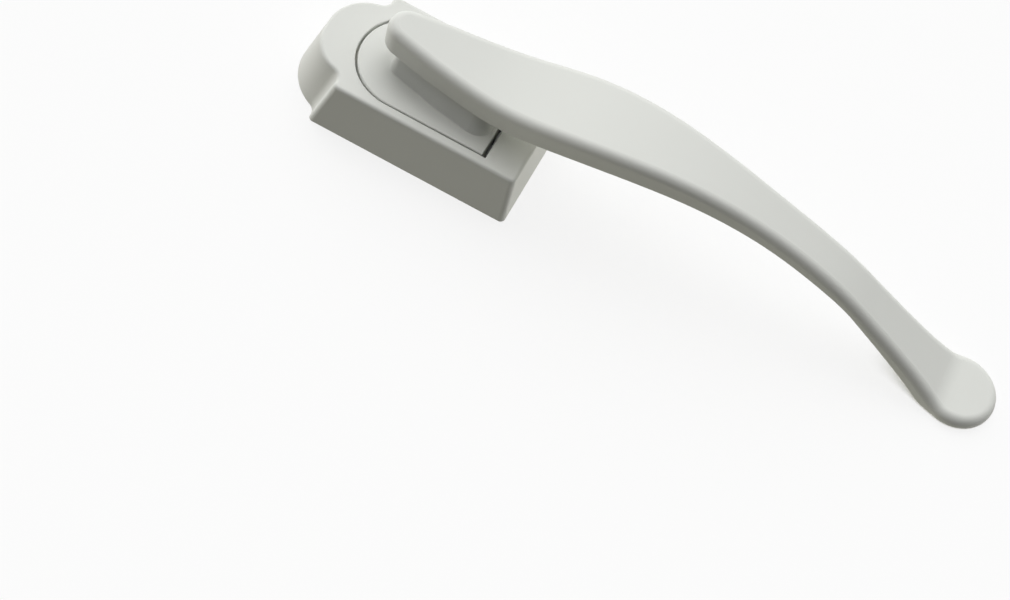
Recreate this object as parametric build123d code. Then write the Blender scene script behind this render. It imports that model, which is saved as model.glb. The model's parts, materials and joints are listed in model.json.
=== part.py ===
import os
from math import cos, hypot, radians, sin, tan

from build123d import *

# Door latch lever: a hollow housing that screws to the door, a lever casting that rocks
# in it on a cross pin, and a plunger that the lever pushes through the door.
# Origin: the plunger's axis at the housing's back face. +Z leaves the door, +X runs
# along the lever to its free end. All sizes are in millimetres.

# fixing posts, on the standard 1-3/4 inch spacing of storm-door hardware
post_spacing = 44.5
post_radius = 3.4
insert_radius = 2.6
insert_length = 9.0
insert_groove = 0.2
insert_groove_width = 0.8
thread_radius = 1.73

# housing, outside: margins are measured at its top face
housing_height = 12.4
lobe_margin = 0.15
lobe_flat = 2.7
lobe_overlap = 0.25
right_margin = 3.9
rim_width = 2.2
shoulder = 3.8
flare_left = 3.4
flare_right = 1.1
flare_side = 2.1
flare_lobe = 3.4
corner_radius = 1.2
root_radius = 2.6
edge_radius = 0.9

# housing, inside
wall = 2.2
top_wall = 2.0
plate_recess = 0.5

# rocker plate and its opening
rocker_radius = 11.85
round_end_margin = 1.64
rocker_gap = 0.3
round_end_gap = 0.5
slot_width = 1.0
slot_margin = 0.6
rocker_edge_radius = 0.3
skirt_thickness = 1.6
skirt_depth = 5.6

# handle, seen from above: places along it and its half width there, up to the round tip
nose_setback = 4.61
nose_half_width = 4.4
nose_corner_radius = 4.3
nose_tangent_deg = 14.0
heel_x = 8.0
heel_half_width = 7.5
swell_x = 27.0
swell_half_width = 9.45
palm_x = 44.0
palm_half_width = 8.95
grip_x = 60.0
grip_half_width = 7.15
waist_x = 78.0
waist_half_width = 5.62
shank_x = 94.0
shank_half_width = 5.45
tail_from_tip = 25.7
tail_half_width = 6.0
tip_x = 137.7
tip_radius = 8.6
tip_tangent_deg = 16.0

# handle, seen from the side: height of its face and of its underside
nose_face = 24.7
nose_under = 18.2
base_x = 5.0
base_face = 24.0
base_under = 17.9
rise_x = 18.0
rise_face = 24.6
rise_under = 18.35
climb_x = 30.0
climb_face = 27.2
climb_under = 21.0
crest_x = 52.0
crest_face = 29.45
crest_under = 23.7
fall_x = 78.0
fall_face = 25.6
fall_under = 21.15
drop_x = 92.0
drop_face = 21.2
drop_under = 17.15
slope_from_tip = 36.7
slope_start_face = 17.0
slope_start_under = 13.25
pad_length = 11.5
pad_length_under = 15.3
pad_face = 3.0
pad_under = 0.05
pad_bend_radius = 7.0
face_edge_radius = 2.0
under_edge_radius = 0.6

# neck between the rocker plate and the handle: its outline at the foot, and how far it
# draws in up to its top inside the handle
neck_inset = 3.1
neck_setback = 0.85
neck_end_length = 4.4
neck_left_half_width = 3.85
neck_middle_x = 4.0
neck_middle_half_width = 7.3
neck_right_half_width = 8.6
neck_left_radius = 2.6
neck_middle_radius = 40.0
neck_right_radius = 3.4
neck_foot_radius = 0.3
neck_reach = 7.5
neck_draw_in = 2.1

# pivot
pivot_setback = 5.05
pivot_depth = 3.6
pin_radius = 1.25
pin_cover = 1.05
pin_chamfer = 0.2
pin_fit = 0.03
bush_fit = 0.04
bush_wall = 0.85
bush_length = 3.9
flange_step = 0.26
flange_thickness = 0.5
hub_wall = 1.06
hub_side_clearance = 0.3
hub_bore_clearance = 0.4
cradle_length = 4.45
cradle_wall = 0.8
cradle_foot = 3.2
cradle_clearance = 0.3
keeper_side_clearance = 0.15
keeper_foot_width = 3.8
keeper_inset = 0.1

# travel
travel_deg = 12.0
rest_clearance = 0.1
rest_pad_thickness = 0.5

# plunger and its spring
plunger_radius = 2.5
plunger_end = 0.3
plunger_chamfer = 0.3
plunger_head_margin = 0.65
plunger_head_thickness = 1.3
button_radius = 2.5
button_reach = 1.5
button_shank_radius = 1.5
button_shank_length = 2.4
button_clearance = 0.06
guide_fit = 0.05
guide_wall = 1.05
guide_flange_step = 1.0
guide_flange_thickness = 0.6
spring_clearance = 0.65
spring_wire_radius = 0.25
spring_coils = 2.0
washer_clearance = 0.4
washer_thickness = 0.3

# back plate and its screws
back_plate_thickness = 1.2
back_plate_corner = 1.6
back_plate_clearance = 0.2
screw_inset_left = 2.55
screw_inset_right = 4.1
screw_inset_side = 2.6
screw_boss_radius = 1.9
screw_radius = 1.1
screw_fit = 0.02
screw_head_radius = 2.1
screw_head_depth = 1.0
screw_length = 6.5
screw_cross_length = 2.4
screw_cross_width = 0.45
screw_cross_depth = 0.6

# stops
ear_overlap = 1.4
ear_post_gap = 0.9
ear_width = 3.5
ear_thickness = 1.4
ear_root = 1.5
bumper_inset = 0.41
bumper_length = 3.0
bumper_side_gap = 1.1
bumper_edge_radius = 0.3

# places across the part that follow from the sizes above
post_x = post_spacing / 2
opening_radius = rocker_radius + rocker_gap
block_half_width = opening_radius + rim_width
lobe_radius = block_half_width - shoulder - lobe_flat / 2
pin_half_length = block_half_width - pin_cover
cradle_inner = block_half_width - cradle_length
hub_outer = cradle_inner - flange_thickness - hub_side_clearance
ear_radius = opening_radius + ear_overlap
ear_inner_y = post_radius + ear_post_gap
ear_outer_y = ear_inner_y + ear_width
bumper_half_width = ear_inner_y - bumper_side_gap

# places along it
lobe_centre_x = lobe_radius - post_x - post_radius - lobe_margin
block_left = lobe_centre_x - lobe_overlap
block_right = post_x + right_margin
rocker_left = round_end_margin + post_radius - post_x
rocker_centre_x = rocker_left + rocker_radius
opening_right = post_x - post_radius - slot_margin
rocker_right = opening_right - slot_width
opening_centre_x = rocker_centre_x - round_end_gap + rocker_gap
nose_x = rocker_left + nose_setback
neck_left = nose_x + neck_inset
neck_right = rocker_right - neck_setback
neck_wide_x = neck_right - neck_end_length
pivot_x = rocker_right - pivot_setback
tail_x = tip_x - tail_from_tip
slope_start_x = tip_x - slope_from_tip
pad_start_x = tip_x - pad_length
pad_start_under_x = tip_x - pad_length_under
bumper_left = rocker_left + bumper_inset
screw_places = [
    (block_left + screw_inset_left, block_half_width - screw_inset_side),
    (block_left + screw_inset_left, screw_inset_side - block_half_width),
    (block_right - screw_inset_right, block_half_width - screw_inset_side),
    (block_right - screw_inset_right, screw_inset_side - block_half_width),
]

# heights
ceiling_z = housing_height - top_wall
plate_low = plate_recess
plate_high = plate_recess + back_plate_thickness
rocker_under = ceiling_z - rest_clearance - rest_pad_thickness
pivot_z = housing_height - pivot_depth
button_low = rocker_under - button_reach
plunger_top = button_low - button_clearance
plunger_shoulder = plunger_top - plunger_head_thickness
spring_low = plate_high + guide_flange_thickness + washer_thickness

# radii that fit round one another
bush_radius = pin_radius + bush_fit + bush_wall
flange_radius = bush_radius + flange_step
hub_radius = bush_radius + hub_wall
cradle_radius = pin_radius + cradle_wall
keeper_half_width = pin_radius - keeper_side_clearance
spring_radius = plunger_radius + spring_clearance + spring_wire_radius
plunger_head_radius = spring_radius + spring_wire_radius + plunger_head_margin
guide_radius = plunger_radius + guide_fit + guide_wall

# the rocker's underside at full travel, above the bumper's left end
travel = radians(travel_deg)
sunk_under = pivot_z + (bumper_left - pivot_x) * tan(travel) + (rocker_under - pivot_z) / cos(travel)
bumper_top = sunk_under - rest_clearance

# the handle's curves
plan_points = [(heel_x, heel_half_width), (swell_x, swell_half_width), (palm_x, palm_half_width),
               (grip_x, grip_half_width), (waist_x, waist_half_width), (shank_x, shank_half_width),
               (tail_x, tail_half_width)]
face_points = [(base_x, base_face), (rise_x, rise_face), (climb_x, climb_face),
               (crest_x, crest_face), (fall_x, fall_face), (drop_x, drop_face)]
under_points = [(base_x, base_under), (rise_x, rise_under), (climb_x, climb_under),
                (crest_x, crest_under), (fall_x, fall_under), (drop_x, drop_under)]

# how far a cutting shape runs past what it cuts, and how near two heights count as one
cut = 1.0
same = 1e-4


def box_between(x0, x1, y0, y1, z0, z1):
    return Pos((x0 + x1) / 2, (y0 + y1) / 2, (z0 + z1) / 2) * Box(x1 - x0, y1 - y0, z1 - z0)


def post(x, y, radius, z0, z1):
    return Pos(x, y, (z0 + z1) / 2) * Cylinder(radius, z1 - z0)


def cross_rod(radius, y0, y1):
    """A round bar along the pivot's axis."""
    return Pos(pivot_x, (y0 + y1) / 2, pivot_z) * Rot(90, 0, 0) * Cylinder(radius, abs(y1 - y0))


def both_sides(shape):
    return shape + mirror(shape, about=Plane.XZ)


def flare_at(z):
    """Share of the full flare that a wall has at height z."""
    return (housing_height - z) / housing_height


def block_section(z, inset, corner):
    share = flare_at(z)
    left = block_left - flare_left * share + inset
    right = block_right + flare_right * share - inset
    half = block_half_width + flare_side * share - inset
    return Pos((left + right) / 2, 0, z) * RectangleRounded(right - left, 2 * half, corner)


def block_body(inset, z0, z1, corner):
    return loft([block_section(z0, inset, corner), block_section(z1, inset, corner)], ruled=True)


def lobe_section(z, inset):
    radius = lobe_radius + flare_lobe * flare_at(z) - inset
    return Pos(lobe_centre_x, 0, z) * SlotCenterToCenter(lobe_flat, 2 * radius, rotation=90)


def lobe_body(inset, z0, z1):
    return loft([lobe_section(z0, inset), lobe_section(z1, inset)], ruled=True)


def d_outline(centre, radius, right):
    """The rocker's outline: round at the left, square at the right."""
    width = right - centre
    middle = (right + centre) / 2
    return Pos(centre, 0) * Circle(radius) + Pos(middle, 0) * Rectangle(width, 2 * radius)


def d_body(centre, radius, right, z0, z1):
    return extrude(Pos(0, 0, z0) * d_outline(centre, radius, right), z1 - z0)


def edges_at(shape, z):
    return [e for e in shape.edges() if abs(e.bounding_box().min.Z - z) < same
            and abs(e.bounding_box().max.Z - z) < same]


def rim(shape, faces):
    """The edges that these faces share with the rest of the shape."""
    sides = [side for face in faces for side in face.edges()]
    return [e for e in shape.edges() if sum(e.is_same(side) for side in sides) == 1]


def outer_shell():
    shell = block_body(0, 0, housing_height, corner_radius) + lobe_body(0, 0, housing_height)
    slanted = [e for e in shell.edges() if abs(e.bounding_box().size.Z - housing_height) < same
               and e.center().X < block_left and abs(e.center().Y) > lobe_radius]
    roots = sorted(slanted, key=lambda e: abs(e.center().Y))[:2]
    shell = fillet(roots, root_radius)
    return fillet(edges_at(shell, housing_height), edge_radius)


def pin_cradle():
    """A bracket on the side wall with a slot, open at the back, that the pin drops into."""
    deep = block_half_width - wall / 2
    bracket = box_between(pivot_x - cradle_radius, pivot_x + cradle_radius,
                          cradle_inner, deep, cradle_foot, pivot_z)
    bracket += cross_rod(cradle_radius, cradle_inner, deep)
    return bracket


def pin_slot():
    radius = pin_radius + pin_fit
    end = pin_half_length + pin_fit
    slot = box_between(pivot_x - radius, pivot_x + radius, cradle_inner - cut, end, plate_high, pivot_z)
    return slot + cross_rod(radius, cradle_inner - cut, end)


def build_housing():
    outside = outer_shell()
    hollow = block_body(wall, 0, ceiling_z, corner_radius) + lobe_body(wall, 0, ceiling_z)
    body = outside - hollow
    for side in (-1, 1):
        body += post(side * post_x, 0, post_radius, 0, ceiling_z + cut / 2)
    for x, y in screw_places:
        body += post(x, y, screw_boss_radius, plate_high, ceiling_z + cut / 2)
    body += both_sides(pin_cradle())
    body -= both_sides(pin_slot())
    body -= d_body(opening_centre_x, opening_radius, opening_right, ceiling_z - cut, housing_height + cut)
    mouth = [e for e in edges_at(body, housing_height)
             if e.center().X < opening_right + cut / 2 and abs(e.center().Y) < opening_radius + cut / 2]
    body = fillet(mouth, rocker_edge_radius)
    for side in (-1, 1):
        body -= post(side * post_x, 0, insert_radius, 0, insert_length)
    for x, y in screw_places:
        body -= post(x, y, screw_radius + screw_fit, plate_high, plate_low + screw_length + cut / 2)
    return body


def plan_outline():
    """The handle seen from above, as one closed face."""
    tip_centre = tip_x - tip_radius
    turn = radians(90 + tip_tangent_deg)
    tip_start = (tip_centre + tip_radius * cos(turn), tip_radius * sin(turn))
    nose_turn = radians(90 + nose_tangent_deg)
    nose_centre = (nose_x + nose_corner_radius, nose_half_width - nose_corner_radius)
    nose_start = (nose_centre[0] + nose_corner_radius * cos(nose_turn),
                  nose_centre[1] + nose_corner_radius * sin(nose_turn))
    along = Spline([nose_start] + plan_points + [tip_start],
                   tangents=[(sin(nose_turn), -cos(nose_turn)), (sin(turn), -cos(turn))])
    nose_arc = CenterArc(nose_centre, nose_corner_radius, 90 + nose_tangent_deg, 90 - nose_tangent_deg)
    nose_end = Line((nose_x, nose_centre[1]), (nose_x, 0))
    tip_arc = CenterArc((tip_centre, 0), tip_radius, 0, 90 + tip_tangent_deg)
    half = [nose_end, nose_arc, along, tip_arc]
    other = [mirror(line, about=Plane.XZ) for line in half]
    return make_face(Curve() + half + other)


def side_line(nose_z, points, slope_z, pad_x, pad_z):
    """One edge of the handle seen from the side: a curve, a straight slope and a flat pad."""
    slope = Vector(pad_x - slope_start_x, pad_z - slope_z)
    curve = Spline([(nose_x - cut, nose_z)] + points + [(slope_start_x, slope_z)],
                   tangents=[(1, 0), tuple(slope.normalized())[:2]])
    ends = FilletPolyline((slope_start_x, slope_z), (pad_x, pad_z), (tip_x + cut, pad_z),
                          radius=pad_bend_radius)
    return curve, ends


def build_handle():
    face_curve, face_ends = side_line(nose_face, face_points, slope_start_face, pad_start_x, pad_face)
    under_curve, under_ends = side_line(nose_under, under_points, slope_start_under,
                                        pad_start_under_x, pad_under)
    left = Line((nose_x - cut, nose_under), (nose_x - cut, nose_face))
    right = Line((tip_x + cut, pad_under), (tip_x + cut, pad_face))
    profile = make_face(Curve() + [face_curve, face_ends, under_curve, under_ends, left, right])
    width = max(half for x, half in plan_points) + tip_radius
    ribbon = extrude(Plane.XZ * profile, width, both=True)
    column = extrude(plan_outline(), nose_face + max(z for x, z in face_points))
    handle = ribbon & column
    upper = [f for f in handle.faces() if f.normal_at().Z > 0.5]
    handle = fillet(rim(handle, upper), face_edge_radius)
    lower = [f for f in handle.faces() if f.normal_at().Z < -0.5]
    return fillet(rim(handle, lower), under_edge_radius)


def neck_outline(inset):
    """The neck seen from above: it widens to the right, with round corners."""
    half = [(neck_left, neck_left_half_width), (neck_middle_x, neck_middle_half_width),
            (neck_wide_x, neck_right_half_width), (neck_right, neck_right_half_width)]
    other = [(x, -y) for x, y in reversed(half)]
    wedge = make_face(Polyline(*half, *other, close=True))
    for place, radius in ((neck_left, neck_left_radius), (neck_middle_x, neck_middle_radius),
                          (neck_right, neck_right_radius)):
        wedge = fillet([v for v in wedge.vertices() if abs(v.X - place) < same], radius)
    return offset(wedge, -inset) if inset else wedge


def build_neck():
    top = Pos(0, 0, housing_height + neck_reach) * neck_outline(neck_draw_in)
    return loft([Pos(0, 0, housing_height) * neck_outline(0), top], ruled=True)


def build_lever():
    plate = d_body(rocker_centre_x, rocker_radius, rocker_right, rocker_under, housing_height)
    plate = fillet(edges_at(plate, housing_height), rocker_edge_radius)
    handle = build_handle()
    lever = plate + build_neck()
    foot = [e for e in edges_at(lever, housing_height) if abs(e.center().Y) < neck_right_half_width + same
            and neck_left - same < e.center().X < neck_right + same
            and hypot(e.center().X - rocker_centre_x, e.center().Y) < rocker_radius - rocker_edge_radius - same]
    lever = fillet(foot, neck_foot_radius)
    lever += handle
    lever += box_between(rocker_right - skirt_thickness, rocker_right, -rocker_radius, rocker_radius,
                         housing_height - skirt_depth, rocker_under)
    lever += cross_rod(hub_radius, -hub_outer, hub_outer)
    lever += ears()
    relief = cross_rod(flange_radius + cradle_clearance, hub_outer, rocker_radius + cut)
    lever -= both_sides(relief)
    lever -= cross_rod(pin_radius + hub_bore_clearance, -hub_outer, hub_outer)
    lever -= both_sides(cross_rod(bush_radius, hub_outer - bush_length, hub_outer))
    return lever - post(0, 0, button_shank_radius, rocker_under - cut, rocker_under + button_shank_length)


def ear_sector(inner, outer, z0, z1):
    """A piece of ring round the rocker's round end, near side and far side."""
    ring = Pos(opening_centre_x, 0, (z0 + z1) / 2) * (Cylinder(outer, z1 - z0) - Cylinder(inner, z1 - z0))
    window = box_between(opening_centre_x - outer, opening_centre_x, ear_inner_y, ear_outer_y, z0, z1)
    return ring & window


def ears():
    low = rocker_under - ear_thickness
    sector = ear_sector(rocker_radius - ear_root, ear_radius, low, rocker_under)
    return both_sides(sector)


def rest_pad(side):
    pad = ear_sector(opening_radius, ear_radius, rocker_under, ceiling_z - rest_clearance)
    return pad if side > 0 else mirror(pad, about=Plane.XZ)


def build_pin():
    pin = cross_rod(pin_radius, -pin_half_length, pin_half_length)
    return chamfer(pin.edges().filter_by(GeomType.CIRCLE), pin_chamfer)


def bush(side):
    inner = hub_outer - bush_length
    tube = cross_rod(bush_radius, inner, hub_outer) + cross_rod(flange_radius, hub_outer, hub_outer + flange_thickness)
    tube -= cross_rod(pin_radius + bush_fit, inner - cut, hub_outer + cut)
    return tube if side > 0 else mirror(tube, about=Plane.XZ)


def pin_keeper(side):
    inner = cradle_inner + keeper_inset
    outer = pin_half_length - keeper_inset
    foot_top = cradle_foot - keeper_inset
    foot = box_between(pivot_x - keeper_foot_width / 2, pivot_x + keeper_foot_width / 2,
                       inner, outer, plate_high, foot_top)
    stem = box_between(pivot_x - keeper_half_width, pivot_x + keeper_half_width,
                       inner, outer, foot_top, pivot_z - pin_radius - pin_fit)
    keeper = foot + stem
    return keeper if side > 0 else mirror(keeper, about=Plane.XZ)


def build_button():
    centre = button_low + button_radius
    dome = Pos(0, 0, centre) * Sphere(button_radius)
    dome &= box_between(-button_radius, button_radius, -button_radius, button_radius, button_low, rocker_under)
    return dome + post(0, 0, button_shank_radius, rocker_under, rocker_under + button_shank_length)


def build_plunger():
    head = post(0, 0, plunger_head_radius, plunger_shoulder, plunger_top)
    stem = post(0, 0, plunger_radius, plunger_end, plunger_shoulder)
    plunger = head + stem
    return chamfer(edges_at(plunger, plunger_end) + edges_at(plunger, plunger_top), plunger_chamfer)


def build_guide():
    guide = post(0, 0, guide_radius, plate_low, plate_high)
    guide += post(0, 0, guide_radius + guide_flange_step, plate_high, plate_high + guide_flange_thickness)
    return guide - post(0, 0, plunger_radius + guide_fit, 0, spring_low)


def build_washer():
    z1 = spring_low
    z0 = spring_low - washer_thickness
    return post(0, 0, plunger_head_radius, z0, z1) - post(0, 0, plunger_radius + washer_clearance, z0, z1)


def build_spring():
    height = plunger_shoulder - spring_low - 2 * spring_wire_radius
    path = Helix(pitch=height / spring_coils, height=height, radius=spring_radius)
    section = Plane(origin=path @ 0, z_dir=path % 0) * Circle(spring_wire_radius)
    return Pos(0, 0, spring_low + spring_wire_radius) * sweep(section, path=path)


def build_back_plate():
    inset = wall + back_plate_clearance
    outline = block_section(plate_high, inset, back_plate_corner)
    plate = extrude(Pos(0, 0, -back_plate_thickness) * outline, back_plate_thickness)
    plate -= post(post_x, 0, post_radius + back_plate_clearance, 0, housing_height)
    plate -= post(-post_x, 0, post_radius + back_plate_clearance, 0, housing_height)
    plate -= post(0, 0, guide_radius, 0, housing_height)
    for x, y in screw_places:
        plate -= screw_body(x, y, screw_fit)
    return plate


def screw_body(x, y, extra):
    head = Pos(x, y, plate_low + screw_head_depth / 2) * Cone(screw_head_radius + extra,
                                                              screw_radius + extra, screw_head_depth)
    return head + post(x, y, screw_radius + extra, plate_low, plate_low + screw_length)


def screw(x, y):
    depth = plate_low + screw_cross_depth
    half = screw_cross_length / 2
    thin = screw_cross_width / 2
    cross = box_between(x - half, x + half, y - thin, y + thin, 0, depth)
    cross += box_between(x - thin, x + thin, y - half, y + half, 0, depth)
    return screw_body(x, y, 0) - cross


def post_insert(side):
    x = side * post_x
    sleeve = post(x, 0, insert_radius, 0, insert_length) - post(x, 0, thread_radius, -cut, insert_length + cut)
    for share in (1 / 3, 2 / 3):
        middle = insert_length * share
        z0 = middle - insert_groove_width / 2
        z1 = middle + insert_groove_width / 2
        sleeve -= post(x, 0, insert_radius + cut, z0, z1) - post(x, 0, insert_radius - insert_groove, z0, z1)
    return sleeve


def build_bumper():
    block = box_between(bumper_left, bumper_left + bumper_length,
                        -bumper_half_width, bumper_half_width, plate_high, bumper_top)
    return fillet(edges_at(block, bumper_top), bumper_edge_radius)


pieces = {
    "housing": build_housing(),
    "lever": build_lever(),
    "pivot_pin": build_pin(),
    "pivot_bush_near": bush(-1),
    "pivot_bush_far": bush(1),
    "pin_keeper_near": pin_keeper(-1),
    "pin_keeper_far": pin_keeper(1),
    "drive_button": build_button(),
    "plunger": build_plunger(),
    "plunger_spring": build_spring(),
    "plunger_guide": build_guide(),
    "spring_washer": build_washer(),
    "back_plate": build_back_plate(),
    "back_plate_screws": Compound(children=[screw(x, y) for x, y in screw_places]),
    "post_insert_left": post_insert(-1),
    "post_insert_right": post_insert(1),
    "travel_bumper": build_bumper(),
    "rest_pad_near": rest_pad(-1),
    "rest_pad_far": rest_pad(1),
}

os.makedirs("parts", exist_ok=True)
for name, shape in pieces.items():
    export_step(shape, f"parts/{name}.step")

reach = pivot_x - rocker_centre_x + rocker_radius
print("round end moves outwards by at most", round(hypot(reach, pivot_depth) - reach, 3), "of", round_end_gap)
drop = pivot_x * sin(travel) + (button_low + button_radius - pivot_z) * (1 - cos(travel))
print("plunger travels", round(drop, 3), "over", travel_deg, "degrees")
closed_height = 2 * spring_wire_radius * (spring_coils + 1)
spring_room = plunger_shoulder - drop - spring_low
print("closed spring needs", round(closed_height, 3), "of", round(spring_room, 3), "at full travel")
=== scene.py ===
import json
from math import cos, pi, radians, sin, tan
import bpy
import bmesh
from mathutils import Matrix, Vector


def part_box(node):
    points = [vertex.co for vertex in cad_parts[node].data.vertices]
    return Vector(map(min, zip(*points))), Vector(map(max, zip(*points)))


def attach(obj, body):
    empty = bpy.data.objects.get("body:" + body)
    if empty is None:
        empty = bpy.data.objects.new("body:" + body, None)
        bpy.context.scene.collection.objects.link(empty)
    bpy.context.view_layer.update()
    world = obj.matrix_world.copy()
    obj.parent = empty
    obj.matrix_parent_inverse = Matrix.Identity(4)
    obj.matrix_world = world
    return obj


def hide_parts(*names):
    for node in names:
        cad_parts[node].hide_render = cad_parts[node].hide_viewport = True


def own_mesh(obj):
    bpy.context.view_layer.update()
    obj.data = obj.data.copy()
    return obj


# The outside lever handle of a storm-door latch, in metres. The origin is the plunger's
# axis at the housing's back face, +Z leaves the door and +X runs along the lever.

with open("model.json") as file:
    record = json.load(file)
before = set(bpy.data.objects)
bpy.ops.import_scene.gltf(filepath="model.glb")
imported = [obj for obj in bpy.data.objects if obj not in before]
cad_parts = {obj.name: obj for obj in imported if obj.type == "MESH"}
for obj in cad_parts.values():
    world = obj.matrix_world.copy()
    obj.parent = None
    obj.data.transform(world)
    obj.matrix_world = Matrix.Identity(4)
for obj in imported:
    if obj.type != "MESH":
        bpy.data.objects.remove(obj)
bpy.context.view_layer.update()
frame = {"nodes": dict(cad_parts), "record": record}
nodes = frame["nodes"]
mm = 0.001

# the view: where the camera stands, and where the origin lies in the picture

viewLook = dict(
    turn=6.602,         # degrees round from the front
    height=58.597,      # degrees above the table
    roll=22.69,         # degrees of roll about the line of sight
    distance=412.33,    # mm from the origin
    shiftRight=-79.65,  # px from the picture's middle to the origin's place
    shiftDown=-189.81,
    pxPerMm=4.598,      # at the origin
    pictureWidth=1010,
    sensorWidth=36,     # mm
    nearest=10,         # mm in front of the camera where the view begins
)


def setCamera():
    look = viewLook
    around, height, roll = radians(look["turn"]), radians(look["height"]), radians(look["roll"])
    back = Vector((sin(around) * cos(height), -cos(around) * cos(height), sin(height)))
    levelRight = Vector((cos(around), sin(around), 0))
    levelUp = back.cross(levelRight)
    right = levelRight * cos(roll) + levelUp * sin(roll)
    up = levelUp * cos(roll) - levelRight * sin(roll)
    mmRight = look["shiftRight"] / look["pxPerMm"]
    mmDown = look["shiftDown"] / look["pxPerMm"]
    place = (back * look["distance"] - right * mmRight + up * mmDown) * mm
    turned = Matrix((right, up, back)).transposed().to_4x4()
    data = bpy.data.cameras.new("photoView")
    data.sensor_width = look["sensorWidth"]
    data.lens = look["pxPerMm"] * look["distance"] / look["pictureWidth"] * data.sensor_width
    data.clip_start = look["nearest"] * mm
    camera = bpy.data.objects.new("photoView", data)
    camera.matrix_world = Matrix.Translation(place) @ turned
    bpy.context.scene.collection.objects.link(camera)
    bpy.context.scene.camera = camera


setCamera()
print("camera placed")

# materials: scales are in grains to the metre, depths of relief in mm

noiseSpread = dict(low=0.3, high=0.7)  # most of the noise lies between these


def newMaterial(name):
    material = bpy.data.materials.new(name)
    material.use_nodes = True
    tree = material.node_tree
    shader = tree.nodes["Principled BSDF"]
    return material, tree, shader


def grain(tree, scale, detail=2, stretch=(1, 1, 1)):
    # noise fixed to the piece, with about scale grains to the metre
    where = tree.nodes.new("ShaderNodeTexCoord")
    mapping = tree.nodes.new("ShaderNodeMapping")
    mapping.inputs["Scale"].default_value = stretch
    noise = tree.nodes.new("ShaderNodeTexNoise")
    noise.inputs["Scale"].default_value = scale
    noise.inputs["Detail"].default_value = detail
    tree.links.new(where.outputs["Object"], mapping.inputs["Vector"])
    tree.links.new(mapping.outputs["Vector"], noise.inputs["Vector"])
    return noise.outputs["Fac"]


def varyColour(tree, shader, amount, one, other):
    # base colour that drifts from one shade to the other
    mix = tree.nodes.new("ShaderNodeMix")
    mix.data_type = "RGBA"
    mix.inputs["A"].default_value = (*one, 1)
    mix.inputs["B"].default_value = (*other, 1)
    tree.links.new(amount, mix.inputs["Factor"])
    tree.links.new(mix.outputs["Result"], shader.inputs["Base Color"])


def varyRoughness(tree, shader, amount, low, high):
    spread = tree.nodes.new("ShaderNodeMapRange")
    spread.inputs["From Min"].default_value = noiseSpread["low"]
    spread.inputs["From Max"].default_value = noiseSpread["high"]
    spread.inputs["To Min"].default_value = low
    spread.inputs["To Max"].default_value = high
    tree.links.new(amount, spread.inputs["Value"])
    tree.links.new(spread.outputs["Result"], shader.inputs["Roughness"])


def roughen(tree, shader, amount, strength, depth):
    # small relief
    bump = tree.nodes.new("ShaderNodeBump")
    bump.inputs["Strength"].default_value = strength
    bump.inputs["Distance"].default_value = depth * mm
    tree.links.new(amount, bump.inputs["Height"])
    tree.links.new(bump.outputs["Normal"], shader.inputs["Normal"])


paintLook = dict(
    shade=(0.764, 0.772, 0.738),
    otherShade=(0.748, 0.757, 0.722),
    driftScale=45,
    specular=0.2,
    sheenScale=260,
    roughness=(0.54, 0.62),
    grainScale=1900,
    grainStrength=0.12,
    grainDepth=0.03,
)


def paintMaterial():
    # off-white satin paint, sprayed: a faint orange peel and hardly any drift in shade
    look = paintLook
    material, tree, shader = newMaterial("offWhitePaint")
    shader.inputs["Specular IOR Level"].default_value = look["specular"]
    varyColour(tree, shader, grain(tree, look["driftScale"]), look["shade"], look["otherShade"])
    varyRoughness(tree, shader, grain(tree, look["sheenScale"]), *look["roughness"])
    peel = grain(tree, look["grainScale"], detail=3)
    roughen(tree, shader, peel, look["grainStrength"], look["grainDepth"])
    return material


zincLook = dict(
    shade=(0.66, 0.68, 0.70),
    otherShade=(0.70, 0.69, 0.64),
    driftScale=70,
    roughness=(0.22, 0.38),
    blotchScale=420,
    brushScale=900,
    brushStretch=(0.04, 1, 1),
    brushStrength=0.10,
    brushDepth=0.01,
)


def zincMaterial():
    # bright zinc plate on rolled steel: faint blue and straw tints, brushed along the part
    look = zincLook
    material, tree, shader = newMaterial("zincPlate")
    shader.inputs["Metallic"].default_value = 1
    varyColour(tree, shader, grain(tree, look["driftScale"]), look["shade"], look["otherShade"])
    varyRoughness(tree, shader, grain(tree, look["blotchScale"]), *look["roughness"])
    brushed = grain(tree, look["brushScale"], detail=3, stretch=look["brushStretch"])
    roughen(tree, shader, brushed, look["brushStrength"], look["brushDepth"])
    return material


wireLook = dict(
    shade=(0.44, 0.45, 0.47),
    otherShade=(0.36, 0.37, 0.40),
    driftScale=900,
    roughness=(0.24, 0.36),
    drawScale=2600,
    drawStrength=0.10,
    drawDepth=0.006,
)


def wireMaterial():
    # drawn spring wire, oiled and slightly dark
    look = wireLook
    material, tree, shader = newMaterial("springWire")
    shader.inputs["Metallic"].default_value = 1
    varyColour(tree, shader, grain(tree, look["driftScale"]), look["shade"], look["otherShade"])
    varyRoughness(tree, shader, grain(tree, look["driftScale"]), *look["roughness"])
    drawn = grain(tree, look["drawScale"], detail=1)
    roughen(tree, shader, drawn, look["drawStrength"], look["drawDepth"])
    return material


brassLook = dict(
    shade=(0.78, 0.60, 0.30),
    otherShade=(0.70, 0.52, 0.25),
    driftScale=300,
    roughness=(0.22, 0.34),
    turnScale=1500,
    turnStretch=(0.15, 0.15, 4),
    turnStrength=0.15,
    turnDepth=0.008,
)


def brassMaterial():
    # turned brass with fine tool rings
    look = brassLook
    material, tree, shader = newMaterial("turnedBrass")
    shader.inputs["Metallic"].default_value = 1
    varyColour(tree, shader, grain(tree, look["driftScale"]), look["shade"], look["otherShade"])
    varyRoughness(tree, shader, grain(tree, look["driftScale"]), *look["roughness"])
    rings = grain(tree, look["turnScale"], detail=1, stretch=look["turnStretch"])
    roughen(tree, shader, rings, look["turnStrength"], look["turnDepth"])
    return material


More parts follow.
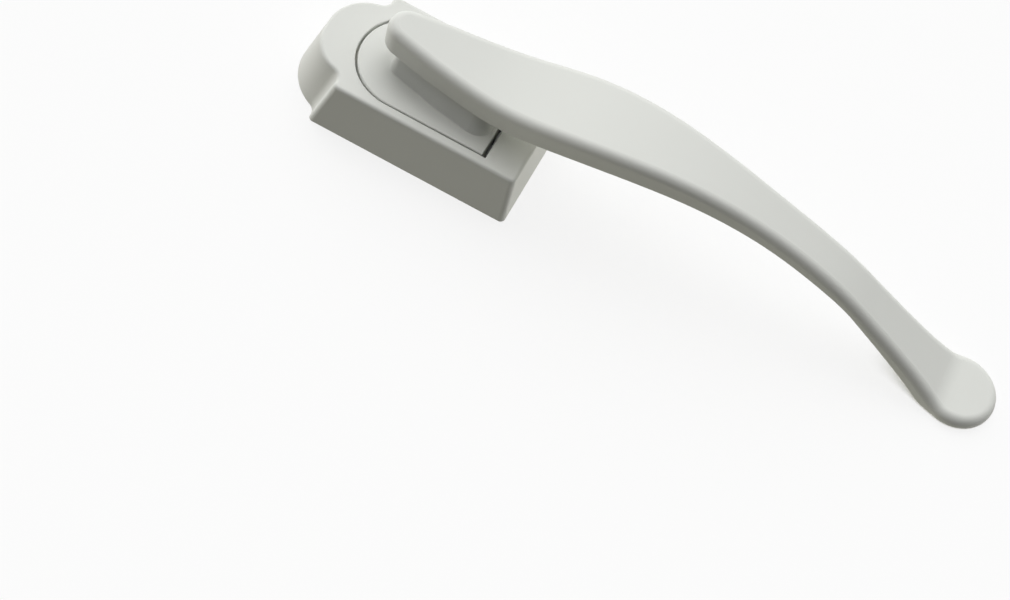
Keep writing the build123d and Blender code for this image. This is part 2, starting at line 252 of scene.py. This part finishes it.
acetalLook = dict(
    shade=(0.80, 0.79, 0.73),
    otherShade=(0.76, 0.75, 0.68),
    driftScale=220,
    roughness=(0.34, 0.44),
    lightShare=0.12,             # of the light passes into it
    lightReach=(1.0, 0.9, 0.7),  # mm that its red, green and blue reach
    grainScale=2400,
    grainStrength=0.08,
    grainDepth=0.01,
)


def acetalMaterial():
    # natural acetal, moulded: milky, with a little light passing into it
    look = acetalLook
    material, tree, shader = newMaterial("naturalAcetal")
    shader.inputs["Subsurface Weight"].default_value = look["lightShare"]
    shader.inputs["Subsurface Radius"].default_value = [reach * mm for reach in look["lightReach"]]
    varyColour(tree, shader, grain(tree, look["driftScale"]), look["shade"], look["otherShade"])
    varyRoughness(tree, shader, grain(tree, look["driftScale"]), *look["roughness"])
    roughen(tree, shader, grain(tree, look["grainScale"]), look["grainStrength"], look["grainDepth"])
    return material


rubberLook = dict(
    shade=(0.028, 0.028, 0.028),
    otherShade=(0.045, 0.044, 0.043),
    driftScale=500,
    roughness=(0.70, 0.85),
    grainScale=3000,
    grainStrength=0.3,
    grainDepth=0.02,
)


def rubberMaterial():
    look = rubberLook
    material, tree, shader = newMaterial("blackRubber")
    varyColour(tree, shader, grain(tree, look["driftScale"]), look["shade"], look["otherShade"])
    varyRoughness(tree, shader, grain(tree, look["driftScale"]), *look["roughness"])
    roughen(tree, shader, grain(tree, look["grainScale"]), look["grainStrength"], look["grainDepth"])
    return material


materials = {
    "painted_casting": paintMaterial(),
    "zinc_plated_steel": zincMaterial(),
    "spring_steel": wireMaterial(),
    "brass": brassMaterial(),
    "acetal": acetalMaterial(),
    "rubber": rubberMaterial(),
}
for part in frame["record"]["subparts"]:
    for materialSlot in nodes[part["node"]].material_slots:
        materialSlot.material = materials[part["material_slot"]]
print("materials on the frame's nodes")

# what the threaded pieces and the spring share

turnedLook = dict(
    steps=72,            # points round a turned piece
    flankAngle=30,       # degrees that a thread's flank leans
    spareTurns=2,        # of thread beyond each end, which is cut off
    weldDistance=1e-7,
    sharpAngle=32,       # degrees
)


def ring(shape, centre, radius, z):
    place = Matrix.Translation((centre.x, centre.y, z))
    made = bmesh.ops.create_circle(shape, segments=turnedLook["steps"], radius=radius, matrix=place)
    return made["verts"]


def knurledRing(shape, centre, radius, depth, z):
    points = ring(shape, centre, radius, z)
    share = 1 - depth / radius
    about = Matrix.Translation((-centre.x, -centre.y, 0))
    bmesh.ops.scale(shape, vec=(share, share, 1), space=about, verts=points[::2])
    return points


def edgesOf(points):
    # in the points' order, since the order of a set would change from run to run
    chosen = set(points)
    return list(dict.fromkeys(edge for point in points for edge in point.link_edges
                              if edge.other_vert(point) in chosen))


def stack(shape, rows):
    for row, following in zip(rows, rows[1:]):
        bmesh.ops.bridge_loops(shape, edges=edgesOf(row) + edgesOf(following))


def fillBetween(shape, inner, outer):
    # flat end with a hole: two loops at one height, one inside the other
    bmesh.ops.triangle_fill(shape, use_beauty=True, edges=inner + outer)


def openRim(shape, z):
    return [edge for edge in shape.edges if edge.is_boundary
            and all(abs(point.co.z - z) < turnedLook["weldDistance"] for point in edge.verts)]


def spinThread(shape, centre, look, z0, z1):
    # one tooth's outline spun up the axis, cut flat at both ends; gives back its two rims
    pitch = look["pitch"]
    flank = abs(look["tipRadius"] - look["wallRadius"]) * tan(radians(turnedLook["flankAngle"]))
    flat = pitch - look["tipFlat"] - 2 * flank
    heights = (0, flat, flat + flank, flat + flank + look["tipFlat"], pitch)
    radii = (look["wallRadius"], look["wallRadius"], look["tipRadius"], look["tipRadius"], look["wallRadius"])
    spare = turnedLook["spareTurns"]
    points = [shape.verts.new((centre.x + radius, centre.y, z0 - spare * pitch + height))
              for radius, height in zip(radii, heights)]
    outline = [shape.edges.new(pair) for pair in zip(points, points[1:])]
    turns = int((z1 - z0) / pitch) + 2 * spare
    steps = turnedLook["steps"]
    bmesh.ops.spin(shape, geom=points + outline, cent=centre, axis=(0, 0, 1),
                   dvec=(0, 0, pitch / steps), angle=2 * pi * turns, steps=steps * turns)
    bmesh.ops.remove_doubles(shape, verts=shape.verts, dist=turnedLook["weldDistance"])
    for z, outwards in ((z0, -1), (z1, 1)):
        everything = shape.verts[:] + shape.edges[:] + shape.faces[:]
        bmesh.ops.bisect_plane(shape, geom=everything, plane_co=(0, 0, z), plane_no=(0, 0, outwards),
                               clear_outer=True)
    return openRim(shape, z0), openRim(shape, z1)


def finishPiece(shape, name, body, slotName, replaced):
    bmesh.ops.remove_doubles(shape, verts=shape.verts, dist=turnedLook["weldDistance"])
    bmesh.ops.recalc_face_normals(shape, faces=shape.faces)
    mesh = bpy.data.meshes.new(name)
    shape.to_mesh(mesh)
    shape.free()
    mesh.shade_smooth()
    mesh.set_sharp_from_angle(angle=radians(turnedLook["sharpAngle"]))
    mesh.materials.append(materials[slotName])
    piece = bpy.data.objects.new(name, mesh)
    bpy.context.scene.collection.objects.link(piece)
    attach(piece, body)
    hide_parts(replaced)
    return piece


# post inserts: brass sleeves with a knurled outside and a No. 8-32 thread inside

insertLook = dict(
    knurlDepth=0.09 * mm,
    endChamfer=0.3 * mm,
    endStep=0.25 * mm,
    grooveWidth=0.8 * mm,
    grooveDepth=0.2 * mm,
    grooveLean=0.05 * mm,         # how far a groove's wall leans outwards
    grooveShares=(1 / 3, 2 / 3),  # of the sleeve's length
)
insertThread = dict(
    pitch=25.4 / 32 * mm,
    wallRadius=1.73 * mm,
    tipRadius=2.08 * mm,
    tipFlat=0.10 * mm,
)


def buildInsert(node, name):
    look = insertLook
    low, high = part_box(node)
    centre = (Vector(low) + Vector(high)) / 2
    outer = (high[0] - low[0]) / 2
    half, depth = look["grooveWidth"] / 2, look["knurlDepth"]
    floorHalf = half - look["grooveLean"]
    shape = bmesh.new()
    lowRim, highRim = spinThread(shape, centre, insertThread, low[2], high[2])
    rows = [ring(shape, centre, outer - look["endChamfer"], low[2]),
            knurledRing(shape, centre, outer, depth, low[2] + look["endStep"])]
    for share in look["grooveShares"]:
        middle = low[2] + (high[2] - low[2]) * share
        rows.append(knurledRing(shape, centre, outer, depth, middle - half))
        rows.append(ring(shape, centre, outer - look["grooveDepth"], middle - floorHalf))
        rows.append(ring(shape, centre, outer - look["grooveDepth"], middle + floorHalf))
        rows.append(knurledRing(shape, centre, outer, depth, middle + half))
    rows.append(knurledRing(shape, centre, outer, depth, high[2] - look["endStep"]))
    rows.append(ring(shape, centre, outer - look["endChamfer"], high[2]))
    fillBetween(shape, lowRim, edgesOf(rows[0]))
    fillBetween(shape, highRim, edgesOf(rows[-1]))
    stack(shape, rows)
    finishPiece(shape, name, "housing_body", "brass", node)


buildInsert("post_insert_left", "threadedInsertLeft")
buildInsert("post_insert_right", "threadedInsertRight")
print("post inserts threaded")

# back plate screws: countersunk, with a cross recess and a thread

screwLook = dict(
    headRadius=2.1 * mm,
    headDepth=1.0 * mm,
    rimHeight=0.12 * mm,
    rimEdge=0.04 * mm,
    neckRadius=1.115 * mm,  # a little more than the thread's tips
    crossReach=1.2 * mm,
    crossHalfWidth=0.26 * mm,
    crossFloorShare=0.62,
    crossDepth=0.6 * mm,
    tipLength=0.5 * mm,
    tipRadius=0.6 * mm,
)
screwThread = dict(
    pitch=0.7 * mm,
    wallRadius=0.84 * mm,
    tipRadius=1.1 * mm,
    tipFlat=0.06 * mm,
)


def cutCross(shape, centre, z):
    # a sheet of three by three fields loses its corners, and the plus that is left goes down
    look = screwLook
    reach, half = look["crossReach"], look["crossHalfWidth"]
    place = Matrix.Translation((centre.x, centre.y, z))
    grid = bmesh.ops.create_grid(shape, x_segments=3, y_segments=3, size=reach, matrix=place)["verts"]
    for axis in (0, 1):
        inner = [point for point in grid if abs(point.co[axis] - centre[axis]) < reach / 2]
        narrow = [3 * half / reach if way == axis else 1 for way in range(3)]
        bmesh.ops.scale(shape, vec=narrow, space=place.inverted(), verts=inner)
    fields = list(dict.fromkeys(face for point in grid for face in point.link_faces))
    corners = [face for face in fields
               if min(abs(face.calc_center_median()[axis] - centre[axis]) for axis in (0, 1)) > half]
    plus = [face for face in fields if face not in corners]
    bmesh.ops.delete(shape, geom=corners, context="FACES")
    made = bmesh.ops.extrude_face_region(shape, geom=plus)["geom"]
    floor = [item for item in made if isinstance(item, bmesh.types.BMVert)]
    share = look["crossFloorShare"]
    bmesh.ops.translate(shape, vec=(0, 0, look["crossDepth"]), verts=floor)
    bmesh.ops.scale(shape, vec=(share, share, 1), space=place.inverted(), verts=floor)
    bmesh.ops.delete(shape, geom=[face for face in plus if face.is_valid], context="FACES")


def buildScrews(node):
    look = screwLook
    low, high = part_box(node)
    places = [Vector((x, y, 0)) for x in (low[0] + look["headRadius"], high[0] - look["headRadius"])
              for y in (low[1] + look["headRadius"], high[1] - look["headRadius"])]
    centre, faceZ, shankZ = places[0], low[2], low[2] + look["headDepth"]
    shape = bmesh.new()
    lowRim, highRim = spinThread(shape, centre, screwThread, shankZ, high[2] - look["tipLength"])
    cutCross(shape, centre, faceZ)
    mouth = openRim(shape, faceZ)
    head = [ring(shape, centre, look["headRadius"] - look["rimEdge"], faceZ),
            ring(shape, centre, look["headRadius"], faceZ + look["rimEdge"]),
            ring(shape, centre, look["headRadius"] - look["rimEdge"], faceZ + look["rimHeight"]),
            ring(shape, centre, look["neckRadius"], shankZ)]
    tip = ring(shape, centre, look["tipRadius"], high[2])
    fillBetween(shape, mouth, edgesOf(head[0]))
    fillBetween(shape, lowRim, edgesOf(head[-1]))
    bmesh.ops.bridge_loops(shape, edges=highRim + edgesOf(tip))
    stack(shape, head)
    bmesh.ops.edgenet_fill(shape, edges=edgesOf(tip))
    one = shape.verts[:] + shape.edges[:] + shape.faces[:]
    for other in places[1:]:
        made = bmesh.ops.duplicate(shape, geom=one)["geom"]
        copied = [item for item in made if isinstance(item, bmesh.types.BMVert)]
        bmesh.ops.translate(shape, vec=other - centre, verts=copied)
    finishPiece(shape, "crossHeadScrews", "housing_body", "zinc_plated_steel", node)


buildScrews("back_plate_screws")
print("screws cut")

# plunger spring: a wound wire as long as the frame's spring

springLook = dict(
    wireRadius=0.25 * mm,
    coils=2,
    wirePoints=16,  # round the wire
)


def buildSpring(node, name):
    look = springLook
    low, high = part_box(node)
    centre = (Vector(low) + Vector(high)) / 2
    wire = look["wireRadius"]
    windRadius = (high[0] - low[0]) / 2 - wire
    steps = turnedLook["steps"] * look["coils"]
    rise = (high[2] - low[2] - 2 * wire) / steps
    shape = bmesh.new()
    place = Matrix.Translation((centre.x + windRadius, centre.y, low[2] + wire))
    upright = place @ Matrix.Rotation(pi / 2, 4, "X")
    made = bmesh.ops.create_circle(shape, segments=look["wirePoints"], radius=wire, matrix=upright)
    section = made["verts"]
    bmesh.ops.spin(shape, geom=section + edgesOf(section), cent=centre, axis=(0, 0, 1),
                   dvec=(0, 0, rise), angle=2 * pi * look["coils"], steps=steps)
    ends = [edge for edge in shape.edges if edge.is_boundary]
    bmesh.ops.holes_fill(shape, edges=ends, sides=look["wirePoints"])
    piece = finishPiece(shape, name, "housing_body", "spring_steel", node)
    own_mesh(piece)


buildSpring("plunger_spring", "plungerSpring")
print("spring wound")

# the pale table, the soft boxes and the white backdrop

stageLook = dict(
    groundSize=3.0,
    groundDrop=0.0001,
    groundColour=(0.95, 0.95, 0.95),
    shadowSoftening=0.8,       # 1 would hide the shadow
    # painted contact shadow on the ground: how far the AO looks round, and the shares of open sky over which
    # the painted glow fades in
    contactReach=0.016,        # how far a point looks round for what covers it
    contactShares=(0.2, 0.5),  # of open sky: covered, and open enough to be plain white
)
# Soft boxes: degrees round from +X towards +Y, degrees above the table, and strength. The
# table is lit through from below, which the boxes under it stand for.
softBoxes = [
    dict(name="backLeftHigh", round=120, height=45, strength=2.14, tint=(0.99, 1, 1)),
    dict(name="backRightHigh", round=60, height=45, strength=0.80, tint=(1, 1, 0.99)),
    dict(name="overhead", round=0, height=90, strength=1.18, tint=(1, 1, 0.99)),
    dict(name="leftUnder", round=180, height=-12, strength=2.09, tint=(1.01, 1, 0.97)),
    dict(name="rightUnder", round=0, height=-45, strength=1.40, tint=(1.02, 1.01, 0.96)),
    dict(name="backRightUnder", round=60, height=-45, strength=1.30, tint=(1.03, 1.02, 0.93)),
    dict(name="frontLeftUnder", round=240, height=-45, strength=0.61, tint=(1.07, 1.05, 0.82)),
]
boxFade = dict(inner=8, outer=44)  # degrees from a box's middle: full light, no light


def seenRays(tree):
    # 1 for what the camera sees, also in a mirror or through glass
    paths = tree.nodes.new("ShaderNodeLightPath")
    seen = paths.outputs["Is Camera Ray"]
    for kind in ("Is Glossy Ray", "Is Transmission Ray"):
        either = tree.nodes.new("ShaderNodeMath")
        either.operation = "MAXIMUM"
        tree.links.new(seen, either.inputs[0])
        tree.links.new(paths.outputs[kind], either.inputs[1])
        seen = either.outputs[0]
    return seen


def softBox(tree, direction, box):
    # a round patch of the sky that fades towards its rim
    around, height = radians(box["round"]), radians(box["height"])
    middle = (cos(around) * cos(height), sin(around) * cos(height), sin(height))
    lean = tree.nodes.new("ShaderNodeVectorMath")
    lean.operation = "DOT_PRODUCT"
    lean.inputs[1].default_value = middle
    fade = tree.nodes.new("ShaderNodeMapRange")
    fade.interpolation_type = "SMOOTHSTEP"
    fade.inputs["From Min"].default_value = cos(radians(boxFade["outer"]))
    fade.inputs["From Max"].default_value = cos(radians(boxFade["inner"]))
    fade.inputs["To Min"].default_value = 0
    fade.inputs["To Max"].default_value = box["strength"]
    light = tree.nodes.new("ShaderNodeBackground")
    light.inputs["Color"].default_value = (*box["tint"], 1)
    tree.links.new(direction, lean.inputs[0])
    tree.links.new(lean.outputs["Value"], fade.inputs["Value"])
    tree.links.new(fade.outputs["Result"], light.inputs["Strength"])
    return light.outputs[0]


def lightStudio():
    world = bpy.data.worlds.new("studioAir")
    world.use_nodes = True
    bpy.context.scene.world = world
    tree = world.node_tree
    backdrop = tree.nodes["Background"]
    backdrop.inputs["Color"].default_value = (1, 1, 1, 1)
    tree.links.new(seenRays(tree), backdrop.inputs["Strength"])
    where = tree.nodes.new("ShaderNodeTexCoord")
    total = backdrop.outputs[0]
    for box in softBoxes:
        both = tree.nodes.new("ShaderNodeAddShader")
        tree.links.new(total, both.inputs[0])
        tree.links.new(softBox(tree, where.outputs["Generated"], box), both.inputs[1])
        total = both.outputs[0]
    tree.links.new(total, tree.nodes["World Output"].inputs["Surface"])


def layGround():
    look = stageLook
    shape = bmesh.new()
    bmesh.ops.create_grid(shape, x_segments=1, y_segments=1, size=look["groundSize"])
    bmesh.ops.translate(shape, verts=shape.verts, vec=(0, 0, -look["groundDrop"]))
    mesh = bpy.data.meshes.new("ground")
    shape.to_mesh(mesh)
    shape.free()
    ground = bpy.data.objects.new("ground", mesh)
    bpy.context.scene.collection.objects.link(ground)
    material, tree, shader = newMaterial("paleGround")
    tree.nodes.remove(shader)
    pale = tree.nodes.new("ShaderNodeBsdfDiffuse")
    pale.inputs["Color"].default_value = (*look["groundColour"], 1)
    glow = tree.nodes.new("ShaderNodeEmission")
    glow.inputs["Color"].default_value = (1, 1, 1, 1)
    # painted contact shadow: the AO node measures how open the sky is round each point, and the ground's
    # painted white glow fades where the object covers it, so the ground darkens under and round the object;
    # the diffuse part shows the real shadow from the soft boxes
    sky = tree.nodes.new("ShaderNodeAmbientOcclusion")
    sky.inputs["Distance"].default_value = look["contactReach"]
    paintedGlowShare = tree.nodes.new("ShaderNodeMapRange")
    paintedGlowShare.interpolation_type = "SMOOTHSTEP"
    paintedGlowShare.inputs["From Min"].default_value = look["contactShares"][0]
    paintedGlowShare.inputs["From Max"].default_value = look["contactShares"][1]
    paintedGlowShare.inputs["To Max"].default_value = look["shadowSoftening"]
    tree.links.new(sky.outputs["AO"], paintedGlowShare.inputs["Value"])
    soften = tree.nodes.new("ShaderNodeMixShader")
    tree.links.new(paintedGlowShare.outputs["Result"], soften.inputs[0])
    tree.links.new(pale.outputs[0], soften.inputs[1])
    tree.links.new(glow.outputs[0], soften.inputs[2])
    clear = tree.nodes.new("ShaderNodeBsdfTransparent")
    choose = tree.nodes.new("ShaderNodeMixShader")
    tree.links.new(seenRays(tree), choose.inputs[0])
    tree.links.new(clear.outputs[0], choose.inputs[1])
    tree.links.new(soften.outputs[0], choose.inputs[2])
    tree.links.new(choose.outputs[0], tree.nodes["Material Output"].inputs["Surface"])
    mesh.materials.append(material)


lightStudio()
layGround()
bpy.context.scene.view_settings.view_transform = "Standard"
print("studio lit")
